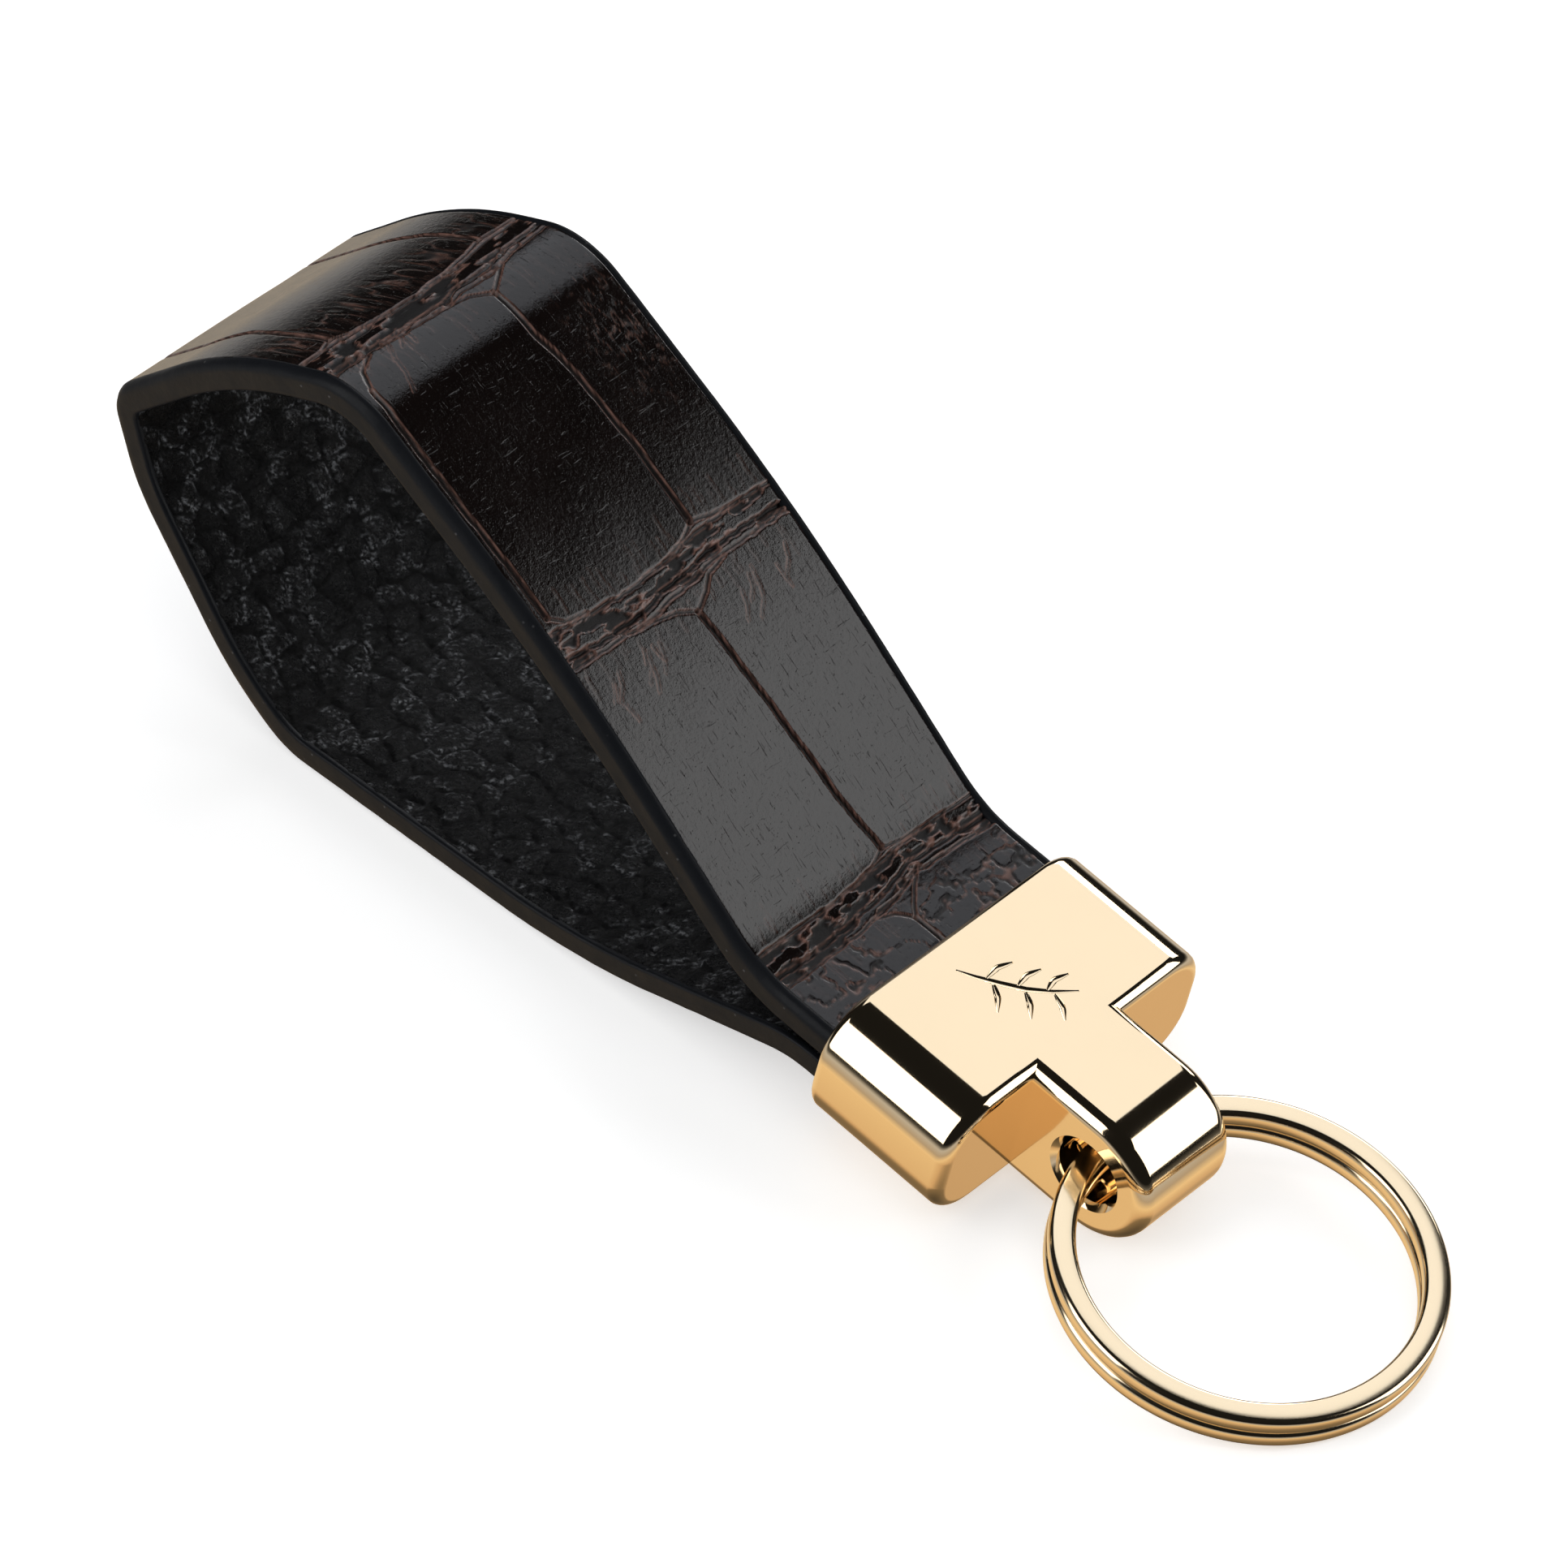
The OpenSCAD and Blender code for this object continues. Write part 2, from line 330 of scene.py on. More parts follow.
# (along, across) points in millimetres of the long creases between two bands, then the forks
# at their ends: where each fork is, and the points of its one or two arms
LONG_CREASES_MM = (
    ((8.0, 0.4), (11.0, 0.7), (13.3, 0.7)),
    ((19.7, 2.7), (25.0, 1.8), (33.0, 1.1), (40.0, 0.4), (42.0, 0.2)),
    ((47.7, 4.2), (55.0, 4.3), (62.0, 3.9), (66.0, 3.2), (69.8, 3.3)),
    ((47.8, -11.2), (56.0, -11.3), (64.0, -11.4), (68.6, -11.0)),
    ((75.7, -8.0), (80.0, -8.2), (85.0, -7.8), (90.0, -8.4), (97.0, -8.0)),
    ((76.0, 8.3), (82.0, 8.0), (88.0, 7.1), (97.0, 7.4)),
    ((104.5, 0.5), (112.0, 0.9), (120.0, 0.3), (127.0, 0.6)),
    ((132.5, -4.6), (140.0, -4.2), (149.0, -4.9), (155.5, -4.3)),
    ((132.5, 7.8), (141.0, 8.3), (149.0, 7.7), (155.5, 8.0)),
    ((160.5, 1.6), (166.0, 2.1), (172.5, 1.4)),
)
FORKS_MM = (
    ((13.3, 0.7), ((14.6, -0.4), (15.1, -1.6)), ((14.4, 1.6), (15.6, 2.8), (16.8, 4.2))),
    ((19.7, 2.7), ((18.9, 0.9), (18.4, -1.8)), ((19.3, 4.6), (19.1, 7.5))),
    ((42.0, 0.2), ((42.8, -1.3), (43.2, -3.2), (43.5, -6.0)), ((42.9, 1.8), (43.9, 2.9), (44.4, 5.0))),
    ((47.7, 4.2), ((46.9, 2.6), (46.4, 0.2)), ((47.3, 6.2), (47.1, 9.0))),
    ((69.8, 3.3), ((70.8, 1.6), (71.1, -1.6)), ((70.7, 4.7), (71.8, 6.6), (72.4, 9.0))),
    ((47.8, -11.2), ((46.9, -10.0), (46.6, -8.0))),
    ((68.6, -11.0), ((70.2, -10.2), (71.2, -8.4))),
    ((75.7, -8.0), ((74.9, -9.4), (74.7, -12.0)), ((74.8, -6.4), (74.3, -3.0))),
    ((76.0, 8.3), ((75.2, 6.2), (74.5, 3.0)), ((75.8, 10.0), (75.8, 12.0))),
    ((104.5, 0.5), ((103.4, -1.2), (103.0, -4.0)), ((103.6, 2.2), (103.3, 5.0))),
    ((127.0, 0.6), ((128.2, -1.0), (128.6, -4.0)), ((128.3, 2.2), (128.9, 5.0))),
    ((160.5, 1.6), ((159.4, 0.0), (158.9, -3.0)), ((159.5, 3.4), (159.2, 6.0))),
    ((172.5, 1.4), ((173.6, 0.0), (174.0, -3.0)), ((173.6, 3.0), (174.2, 6.0))),
)
# each band of wrinkles across the strap: its place, and how far before or after it each of
# its furrows runs, from one edge of the strap to the other
ACROSS_KNOTS_MM = (-12.4, -8, -4, 0, 4, 8, 12.4)
WIDE_FURROWS_MM = (
    (-1.6, -1.6, -1.5, -1.1, 0.0, -0.3, -0.6),
    (-0.4, -0.5, -0.4, 0.0, 1.0, 0.6, 0.3),
    (1.9, 1.9, 1.8, 2.1, 2.6, 2.6, 2.5),
)
NARROW_FURROWS_MM = (
    (-1.5, -1.3, -1.6, -1.1, -0.6, -0.4, -0.5),
    (-0.6, -0.7, -0.8, -0.3, 0.2, 0.3, 0.2),
    (1.7, 1.5, 1.1, 1.3, 1.9, 2.1, 2.0),
)
BEND_FURROWS_MM = (
    (-1.6, -1.6, -1.9, -1.8, -1.6, -1.0, -0.4),
    (-1.1, -1.1, -1.3, -1.2, -0.8, -0.2, 0.4),
    (1.7, 1.8, 1.3, 1.2, 1.6, 2.2, 2.7),
)
BANDS_MM = (
    (16.5, WIDE_FURROWS_MM),
    (45.0, NARROW_FURROWS_MM),
    (73.0, BEND_FURROWS_MM),
    (101.5, NARROW_FURROWS_MM),
    (130.0, WIDE_FURROWS_MM),
    (157.5, NARROW_FURROWS_MM),
    (176.0, WIDE_FURROWS_MM),
)
# patches of short scuffs beside the bands: where each starts, which part of the strap's width
# it covers, and how many scuffs it has
SCUFFS_MM = (
    (42.6, 4.2, 10.8, 7), (42.0, -9.8, -3.8, 9), (72.2, -9.4, -4.4, 9), (99.6, -8.0, -5.0, 4),
    (99.8, 3.0, 7.0, 4), (128.6, 6.0, 10.0, 6), (155.0, -7.0, -2.0, 5),
)
# a crease's distance from where it is measured, its reach, and how strongly it works on
# height, worn colour and painted shade
DEEP = dict(depth=0.30, width=0.17, lip=0.015, wear_and_glint=0.8, dark=1.0)
FINE = dict(depth=0.14, width=0.12, lip=0.012, wear_and_glint=0.8, dark=0.8)
SCUFF = dict(depth=0.022, width=0.10, lip=0.0, wear_and_glint=0.75, dark=0.45)
DASH = dict(depth=0.018, width=0.08, lip=0.004, wear_and_glint=0.2, dark=0.25)


class Embossing:
    """Height in millimetres, wear, painted glints and painted shade over the strap, added crease by
    crease.
    """

    def __init__(self, along, across):
        self.along = along
        self.across = across
        self.height = np.zeros(along.shape)
        self.wear_and_glint = np.zeros(along.shape)
        self.dark = np.zeros(along.shape)

    def mark(self, where, d, depth, width, lip, wear_and_glint, dark, fade=1.0):
        """Cuts one furrow at signed distance d: a raised lip on its positive side, wear beside it,
        painted shade in it.
        """
        self.height[where] += fade * (lip * bell(d - 1.3 * width, 0.9 * width) - depth * bell(d, width))
        worn = wear_and_glint * (bell(d - 1.45 * width, 0.055) + 0.6 * bell(d + 1.4 * width, 0.045))
        self.wear_and_glint[where] = np.maximum(self.wear_and_glint[where], worn * fade)
        self.dark[where] = np.maximum(self.dark[where], dark * fade * bell(d + 0.2 * width, width))

    def crease(self, points, **kind):
        """A furrow along a bent line, a little uneven, with round ends."""
        reach = 1.6
        waver = 0.12
        points = np.array(points)
        low, high = points.min(0) - reach, points.max(0) + reach
        where = ((self.along > low[0]) & (self.along < high[0])
                 & (self.across > low[1]) & (self.across < high[1]))
        x = self.along[where]
        y = self.across[where]
        x, y = (x + waver * rough_noise(x / 1.6, y / 1.6, 11),
                y + waver * rough_noise(x / 1.6 + 40, y / 1.6, 17))
        best = np.full(x.shape, np.inf)
        side = np.zeros(x.shape)
        for a, b in zip(points[:-1], points[1:], strict=True):
            run = b - a
            t = np.clip(((x - a[0]) * run[0] + (y - a[1]) * run[1]) / (run @ run), 0, 1)
            dx, dy = x - a[0] - t * run[0], y - a[1] - t * run[1]
            d = np.hypot(dx, dy)
            closer = d < best
            best = np.where(closer, d, best)
            side = np.where(closer, np.sign(run[0] * dy - run[1] * dx), side)
        self.mark(where, best * side, **kind)

    def band(self, place, furrows):
        """A sunk strip across the strap: furrows, a net of pits, and dashes out into the tiles."""
        sink, pit_depth, spread = 0.07, 0.22, 3.5
        lines = []
        wander = 0.22 * rough_noise(self.across / 1.7, np.full_like(self.across, place), 23)
        for k, offsets in enumerate(furrows):
            jog = 0.08 * lattice_noise(self.across / 0.8, np.full_like(self.across, place + k), 29)
            lines.append(place + np.interp(self.across, ACROSS_KNOTS_MM, offsets) + wander + jog)
        first, last = lines[0], lines[-1]
        inside = (smooth_step(-0.35, 0.25, self.along - first)
                  * smooth_step(-0.35, 0.25, last - self.along))
        self.height -= sink * inside
        near = (self.along > first - spread) & (self.along < last + spread)
        for k, line in enumerate(lines):
            sign = 1 if k else -1
            self.mark(near, sign * (self.along - line)[near], **(DEEP if k == 1 else FINE))
        scales = rough_noise(self.along / 0.85, self.across / 2.1, 31 + int(place), 3)
        pits = smooth_step(0.02, 0.22, scales) * inside
        rims = bell(scales - 0.03, 0.055) * inside
        self.height -= pit_depth * pits
        # painted shade in the pits of the band
        self.dark = np.maximum(self.dark, pits)
        self.wear_and_glint = np.maximum(self.wear_and_glint, 0.8 * rims)
        rng = np.random.default_rng(int(place))
        for v in np.arange(-12.2, 12.4, 0.8):
            for edge, way in ((furrows[0], -1), (furrows[-1], 1)):
                y = v + rng.uniform(-0.4, 0.4)
                start = place + np.interp(y, ACROSS_KNOTS_MM, edge) + way * rng.uniform(0.1, 0.9)
                length = rng.uniform(0.5, 2.6)
                bend = rng.uniform(-0.35, 0.35)
                self.crease(((start, y), (start + way * length / 2, y + bend),
                             (start + way * length, y + bend / 2)), fade=rng.uniform(0.2, 1.0), **DASH)

    def tiles(self):
        """Everything the leather shows between the furrows."""
        for points in LONG_CREASES_MM:
            self.crease(points, **DEEP)
        for fork, *arms in FORKS_MM:
            for arm in arms:
                self.crease((fork, *arm), **FINE)
        for place, furrows in BANDS_MM:
            self.band(place, furrows)
        rng = np.random.default_rng(83)
        for start, low, high, count in SCUFFS_MM:
            for v in rng.uniform(low, high, count):
                s = start - rng.exponential(0.7)
                reach = rng.uniform(0.7, 2.6)
                drift = rng.uniform(-0.9, 0.2) * reach
                self.crease(((s, v), (s - 0.5 * reach, v + 0.3 * drift), (s - reach, v + drift)),
                            fade=rng.uniform(0.4, 1.0), **SCUFF)
        self.height += 0.030 * rough_noise(self.along / 7, self.across / 5, 41, 2)
        wrinkle = rough_noise(self.along / 1.1 + self.across / 1.6, self.across / 0.55, 43, 2)
        self.crackle(wrinkle, 0.6 * bell(self.along - 63, 5) * smooth_step(5, 8.5, self.across), 0.06)
        skin = rough_noise(self.along / 1.6, self.across / 2.0, 47, 3)
        self.crackle(skin, smooth_step(-16.0, -13.5, -self.along), 0.06)
        streaks = rough_noise(self.along / 3.5, self.across / 0.8, 49, 2)
        self.crackle(streaks, 0.7 * bell(self.along - 78, 2.4), 0.08)

    def crackle(self, noise, zone, width):
        """Thin cracks where the noise crosses zero, as strong as the zone allows, with painted shade in
        them.
        """
        depth = 0.07
        line = bell(noise, width) * zone
        self.height -= depth * line
        self.wear_and_glint = np.maximum(self.wear_and_glint, 0.6 * bell(noise - 1.2 * width, 0.6 * width) * zone)
        self.dark = np.maximum(self.dark, line)


def strap_steps(fine, coarse):
    """Places along the strap in millimetres, closer together in the bands."""
    band_reach = 3.2
    steps = [PATH.along[0]]
    while steps[-1] < PATH.length:
        close = min(abs(steps[-1] - place) for place, _ in BANDS_MM) < band_reach
        steps.append(steps[-1] + (fine if close else coarse))
    steps[-1] = PATH.length
    return np.array(steps)


# ---------------- materials

# pale dust in the edge paint, painted glints and painted furrow shade of the pebbles, fibres of the
# board
SPECK_COLOUR = (0.20, 0.20, 0.21)
GLINT_COLOUR = (0.34, 0.35, 0.37)
FURROW_SHADE_COLOUR = (0.0012, 0.0012, 0.0014)
BOARD_COLOURS = ((0.16, 0.12, 0.09), (0.32, 0.25, 0.18))


class Nodes:
    """A material's node tree, with short ways to add and join nodes."""

    def __init__(self, name):
        self.material = bpy.data.materials.new(name)
        self.material.use_nodes = True
        self.tree = self.material.node_tree
        self.shader = self.tree.nodes["Principled BSDF"]

    def add(self, kind, inputs=None, **settings):
        node = self.tree.nodes.new(kind)
        for key, value in settings.items():
            setattr(node, key, value)
        for key, value in (inputs or {}).items():
            if isinstance(value, bpy.types.NodeSocket):
                self.tree.links.new(value, node.inputs[key])
            else:
                node.inputs[key].default_value = value
        return node

    def shade(self, **inputs):
        for key, value in inputs.items():
            socket = self.shader.inputs[key.replace("_", " ")]
            if isinstance(value, bpy.types.NodeSocket):
                self.tree.links.new(value, socket)
            else:
                socket.default_value = value

    def attribute(self, name):
        return self.add("ShaderNodeAttribute", attribute_name=name).outputs["Fac"]

    def strap_place(self, stretch=(1, 1)):
        """The strap's own coordinates in millimetres, as a texture place."""
        along = self.math("MULTIPLY", self.attribute("along"), stretch[0])
        across = self.math("MULTIPLY", self.attribute("across"), stretch[1])
        return self.add("ShaderNodeCombineXYZ", {"X": along, "Y": across}).outputs["Vector"]

    def object_place(self):
        return self.add("ShaderNodeTexCoord").outputs["Object"]

    def math(self, operation, a, b=0.0):
        return self.add("ShaderNodeMath", {0: a, 1: b}, operation=operation).outputs[0]

    def noise(self, place, scale, detail=3.0, roughness=0.55, distortion=0.0):
        return self.add("ShaderNodeTexNoise", {
            "Vector": place, "Scale": scale, "Detail": detail,
            "Roughness": roughness, "Distortion": distortion}).outputs["Fac"]

    def specks(self, place, scale, size):
        """Round specks, one to a cell, that fade from their middles to a size."""
        cells = self.add("ShaderNodeTexVoronoi", {"Vector": place, "Scale": scale}, feature="F1")
        return self.span(cells.outputs["Distance"], 0.0, size, 1.0, 0.0)

    def threads(self, noise, width):
        """Thin lines where a noise crosses its middle."""
        away = self.math("ABSOLUTE", self.math("SUBTRACT", noise, 0.5))
        return self.span(away, 0.0, width, 1.0, 0.0)

    def span(self, value, low, high, to_low=0.0, to_high=1.0):
        return self.add("ShaderNodeMapRange", {
            "Value": value, "From Min": low, "From Max": high,
            "To Min": to_low, "To Max": to_high}).outputs["Result"]

    def mix(self, factor, a, b):
        node = self.add("ShaderNodeMix", data_type="RGBA")
        for socket, value in ((node.inputs[0], factor), (node.inputs[6], a), (node.inputs[7], b)):
            if isinstance(value, bpy.types.NodeSocket):
                self.tree.links.new(value, socket)
            elif socket.type == "RGBA":
                socket.default_value = (*value, 1)
            else:
                socket.default_value = value
        return node.outputs[2]

    def bump(self, height, distance, normal=None):
        inputs = {"Height": height, "Distance": distance, "Strength": 1.0}
        if normal is not None:
            inputs["Normal"] = normal
        return self.add("ShaderNodeBump", inputs).outputs["Normal"]


def embossed_leather(strap):
    n = Nodes("embossed_leather")
    place = n.strap_place()
    broken = n.span(n.noise(place, 1.1, 3), 0.28, 0.55, 0.35, 1.0)
    patch = n.noise(place, 0.22, 3)
    paler = [c * 1.5 for c in strap.leather_color]
    tone = n.mix(n.span(patch, 0.35, 0.7), strap.leather_color, paler)
    # painted shade: creases, pits and cracks darken towards the pit shade colour
    tone = n.mix(n.attribute("dark"), tone, strap.pit_shade_color)
    tone = n.mix(n.math("MULTIPLY", n.attribute("wear_and_glint"), broken), tone, strap.rub_color)
    scratch_place = n.strap_place((0.35, 4.0))
    scratches = n.span(n.noise(scratch_place, 1.6, 2, 0.5, 0.6), 0.66, 0.74)
    pores = n.specks(place, 2.3, 0.16)
    grain = n.noise(place, 2.4, 4, 0.6)
    fine = n.noise(place, 9.0, 2)
    hairs = n.span(n.noise(n.strap_place((2.6, 0.4)), 1.3, 2, 0.5, 0.9), 0.68, 0.76)
    normal = n.bump(n.math("ADD", grain, n.math("MULTIPLY", fine, 0.4)), 0.022 * MM)
    marks = n.math("SUBTRACT", n.math("MULTIPLY", pores, -1.0), n.math("MAXIMUM", scratches, hairs))
    normal = n.bump(marks, 0.011 * MM, normal)
    worn = n.math("ADD", n.math("MULTIPLY", n.attribute("wear_and_glint"), 0.25),
                  n.math("MULTIPLY", n.attribute("dark"), 0.55))
    rough = n.math("ADD", n.span(n.noise(place, 0.8, 4), 0.3, 0.7, 0.06, 0.10), worn)
    n.shade(Base_Color=tone, Roughness=rough, Normal=normal, IOR=1.5)
    return n.material


def pebbled_leather(strap):
    n = Nodes("lining_leather")
    place = n.strap_place()
    vein = n.threads(n.noise(place, 1.5, 6, 0.72, 1.6), 0.055)
    thread = n.threads(n.noise(place, 4.2, 4, 0.65, 1.2), 0.09)
    # painted shade in the pebbles' grooves, the folds and the veins
    shadow = n.math("MAXIMUM", n.attribute("dark"), n.math("MULTIPLY", vein, 0.55))
    tone = n.mix(n.noise(place, 1.2, 3), strap.lining_color, [c * 1.7 for c in strap.lining_color])
    tone = n.mix(shadow, tone, FURROW_SHADE_COLOUR)
    # painted highlights: pale glints on the pebbles
    tone = n.mix(n.math("MULTIPLY", n.attribute("wear_and_glint"), n.span(n.noise(place, 3.4, 3), 0.42, 0.58)),
                 tone, GLINT_COLOUR)
    rough = n.math("ADD", n.span(n.noise(place, 6.0, 3), 0.3, 0.7, 0.20, 0.30),
                   n.math("MULTIPLY", shadow, 0.35))
    height = n.math("SUBTRACT", n.math("MULTIPLY", n.noise(place, 7.0, 3), 0.35),
                    n.math("ADD", n.math("MULTIPLY", vein, 0.75), n.math("MULTIPLY", thread, 0.45)))
    n.shade(Base_Color=tone, Roughness=rough, Normal=n.bump(height, 0.07 * MM), IOR=1.36)
    return n.material


def edge_paint(strap):
    n = Nodes("edge_paint")
    place = n.object_place()
    speck = n.specks(place, 700.0, 0.10)
    tone = n.mix(n.noise(place, 400.0, 3), strap.paint_color, [c * 1.35 for c in strap.paint_color])
    tone = n.mix(n.math("MULTIPLY", speck, 0.35), tone, SPECK_COLOUR)
    rough = n.span(n.noise(place, 500.0, 3), 0.3, 0.7, 0.34, 0.46)
    height = n.math("ADD", n.noise(place, 900.0, 4), n.math("MULTIPLY", speck, 0.8))
    n.shade(Base_Color=tone, Roughness=rough, Normal=n.bump(height, 0.03 * MM), IOR=1.22)
    return n.material


def polished_gold(name, colour, roughness):
    n = Nodes(name)
    place = n.object_place()
    smear = n.noise(place, 160.0, 5, 0.65)
    scratches = n.noise(n.add("ShaderNodeMapping", {
        "Vector": place, "Scale": (300.0, 4000.0, 300.0)}).outputs["Vector"], 1.0, 2)
    tone = n.mix(smear, [c * 0.95 for c in colour], colour)
    rough = n.span(smear, 0.3, 0.7, roughness, roughness + 0.03)
    n.shade(Base_Color=tone, Roughness=rough, Metallic=1.0, Normal=n.bump(scratches, 0.0004 * MM))
    return n.material


def leather_board():
    n = Nodes("core_board")
    place = n.object_place()
    tone = n.mix(n.noise(place, 1800.0, 4), *BOARD_COLOURS)
    n.shade(Base_Color=tone, Roughness=0.9, Normal=n.bump(n.noise(place, 3000.0, 3), 0.05 * MM))
    return n.material


# ---------------- the strap's pieces


def strap_sheet(name, emboss, along, across, out_face, out_back, round_off=0.0):
    """A closed layer of the strap whose face carries an embossing, with a plain back."""
    s, v = np.meshgrid(along, across, indexing="ij")
    pattern = Embossing(s, v)
    emboss(pattern)
    limit = across[-1]
    edge = np.clip((np.abs(v) - (limit - round_off)) / max(round_off, 1e-9), 0, 1)
    drop = round_off * (1 - np.sqrt(1 - 0.75 * edge ** 2)) if round_off else 0
    way = copysign(1, out_face - out_back)
    face = PATH.at(s, v, out_face + way * (pattern.height - drop))
    rows, columns = s.shape
    back_v = np.array([across[0], across[-1]])
    sb, vb = np.meshgrid(along, back_v, indexing="ij")
    back = PATH.at(sb, vb, out_back)
    count = rows * columns
    faces = grid_faces(rows, columns)
    for r in range(rows - 1):
        a, b = count + 2 * r, count + 2 * r + 2
        faces.append((a, b, b + 1, a + 1))
        faces.append((r * columns, (r + 1) * columns, b, a))
        faces.append(((r + 1) * columns - 1, (r + 2) * columns - 1, b + 1, a + 1))
    for r in (0, rows - 1):
        faces.append([r * columns + c for c in range(columns)] + [count + 2 * r + 1, count + 2 * r])
    fill = np.zeros(2 * rows)
    obj = new_object(name, np.concatenate([face.reshape(-1, 3), back.reshape(-1, 3)]), faces, {
        "along": np.concatenate([s.ravel(), sb.ravel()]),
        "across": np.concatenate([v.ravel(), vb.ravel()]),
        "wear_and_glint": np.concatenate([np.clip(pattern.wear_and_glint, 0, 1).ravel(), fill]),
        "dark": np.concatenate([np.clip(pattern.dark, 0, 1).ravel(), fill]),
    })
    outward_normals(obj)
    return obj


def whole_thickness(strap):
    return strap.outer_thick + strap.core_thick + strap.lining_thick


def edge_profile(strap, side):
    """The edge paint's section in millimetres: across, out. Round on the outer arris."""
    back_r = 0.22
    half = strap.width / MM / 2
    t = whole_thickness(strap) / MM / 2
    rim = strap.rim / MM
    r = strap.arris / MM * (0.5 if side > 0 else 1.0)
    points = [(half - rim - 0.30, t - 0.30), (half - rim - 0.04, t - 0.16)]
    for a in np.radians(np.linspace(95, 0, 9)):
        points.append((half - r + r * cos(a), t + 0.01 - r + r * sin(a)))
    points.append((half, 0.0))
    points.append((half - 0.01, -t + 0.35))
    for a in np.radians(np.linspace(-10, -90, 5)):
        points.append((half - back_r + back_r * cos(a), -t + 0.20 + back_r * sin(a)))
    points += [(half - 0.50, -t - 0.02), (half - 0.62, -t + 0.10), (half - 0.62, 0.0)]
    return [(side * across, out) for across, out in points]


# folds across the lining: the place of each, and the part of the strap's width that it covers
LINING_FOLDS_MM = ((125.5, -4.0, 10.5), (128.0, -2.0, 11.0), (109.5, -8.0, 9.0), (121.8, -9.0, 3.0))


def lining_grain(pebble_mm):
    """The lining's pebbles, folds and fine wrinkles, with painted shade and glints, as one call on an
    embossing.
    """

    def press(p):
        pebble_height, groove_depth, ridge_height, fold_depth, sink = 0.30, 0.16, 0.07, 0.12, 0.25
        s = p.along + 0.8 * rough_noise(p.along / 3, p.across / 3, 51)
        v = p.across + 0.8 * rough_noise(p.along / 3, p.across / 3 + 60, 53)
        near, second = cell_distances(s / pebble_mm, v / pebble_mm, 57)
        groove = bell(second - near, 0.14)
        small_near, small_second = cell_distances(s / pebble_mm * 2.3 + 9, v / pebble_mm * 2.3, 59)
        small_groove = bell(small_second - small_near, 0.13)
        p.height += pebble_height * (1 - near) - groove_depth * groove - 0.06 * small_groove
        p.height += ridge_height * bell(rough_noise(s / 1.9, v / 0.9 + s / 6, 61, 3), 0.13)
        # painted shade in the grooves between the pebbles
        p.dark = np.maximum(p.dark, groove)
        p.dark = np.maximum(p.dark, 0.4 * small_groove)
        # painted highlights: glints along the pebbles' rims, in patches
        glint = bell(second - near - 0.20, 0.045) + 0.6 * bell(small_second - small_near - 0.24, 0.05)
        patchy = smooth_step(-0.05, 0.30, rough_noise(s / 1.3, v / 1.3, 67, 2))
        p.wear_and_glint = np.maximum(p.wear_and_glint, np.minimum(glint, 1) * patchy)
        p.height -= sink
        for place, low, high in LINING_FOLDS_MM:
            bend = 0.5 * rough_noise(p.across / 2, p.along * 0, int(place))
            fold = (bell(p.along - place - bend, 0.22) * smooth_step(low - 2, low + 1, p.across)
                    * smooth_step(-high - 2, -high + 1, -p.across))
            p.height -= fold_depth * fold
            # painted shade in the fold
            p.dark = np.maximum(p.dark, fold)

    return press


class KEYHOLDER_OT_outer_leather(Operator):
    """Make the crocodile-embossed outer leather"""

    bl_idname = "keyholder.outer_leather"
    bl_label = "Outer Leather"

    def execute(self, context):
        strap = context.scene.keyholder_strap
        under_paint = 0.28
        t = whole_thickness(strap) / MM / 2
        half = (strap.width - strap.rim) / MM / 2 - under_paint
        obj = strap_sheet("outer_leather", Embossing.tiles, strap_steps(0.12, 0.21),
                          np.linspace(-half, half, 206), t, t - strap.outer_thick / MM, 0.35)
        obj.data.materials.append(embossed_leather(strap))
        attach(obj, STRAP_BODY)
        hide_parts("strap_outer")
        return {"FINISHED"}


class KEYHOLDER_OT_lining(Operator):
    """Make the pebbled lining inside the loop"""

    bl_idname = "keyholder.lining"
    bl_label = "Lining"

    def execute(self, context):
        strap = context.scene.keyholder_strap
        under_paint = 0.45
        t = whole_thickness(strap) / MM / 2
        half = strap.width / MM / 2 - under_paint
        steps = np.arange(0, PATH.length, 0.22)
        obj = strap_sheet("lining_leather", lining_grain(strap.pebble / MM), steps,
                          np.linspace(-half, half, 108), -t, -t + strap.lining_thick / MM)
        obj.data.materials.append(pebbled_leather(strap))
        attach(obj, STRAP_BODY)
        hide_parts("strap_lining")
        return {"FINISHED"}


class KEYHOLDER_OT_edge_paint(Operator):
    """Make the edge paint on both cut edges"""

    bl_idname = "keyholder.edge_paint"
    bl_label = "Edge Paint"

    def execute(self, context):
        strap = context.scene.keyholder_strap
        material = edge_paint(strap)
        along = np.arange(0, PATH.length, 0.3)
        for name, node, side in (("paint_left", "edge_paint_left", 1),
                                 ("paint_right", "edge_paint_right", -1)):
            profile = np.array(edge_profile(strap, side))
            s, k = np.meshgrid(along, np.arange(len(profile)), indexing="ij")
            ripple = (0.030 * rough_noise(s / 9, k / 1.5, 71 + side)
                      + 0.012 * rough_noise(s / 1.2, k / 1.2, 73))
            across = profile[:, 0] + side * np.minimum(ripple, 0.02)
            out = profile[:, 1] + np.where(profile[:, 1] > 0, 1, -1) * np.minimum(ripple, 0.01)
            obj = tube(name, PATH.at(s, across, out))
            obj.data.materials.append(material)
            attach(obj, STRAP_BODY)
            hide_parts(node)
        return {"FINISHED"}


# ---------------- the metal pieces


def rounded_outline(half_wide, half_high, radius, steps=10):
    """Points round a rectangle with round corners, anticlockwise."""
    points = []
    for corner, (sx, sy) in enumerate(((1, 1), (-1, 1), (-1, -1), (1, -1))):
        for a in np.radians(np.linspace(corner * 90, corner * 90 + 90, steps)):
            points.append((sx * (half_wide - radius) + radius * cos(a),
                           sy * (half_high - radius) + radius * sin(a)))
    return points


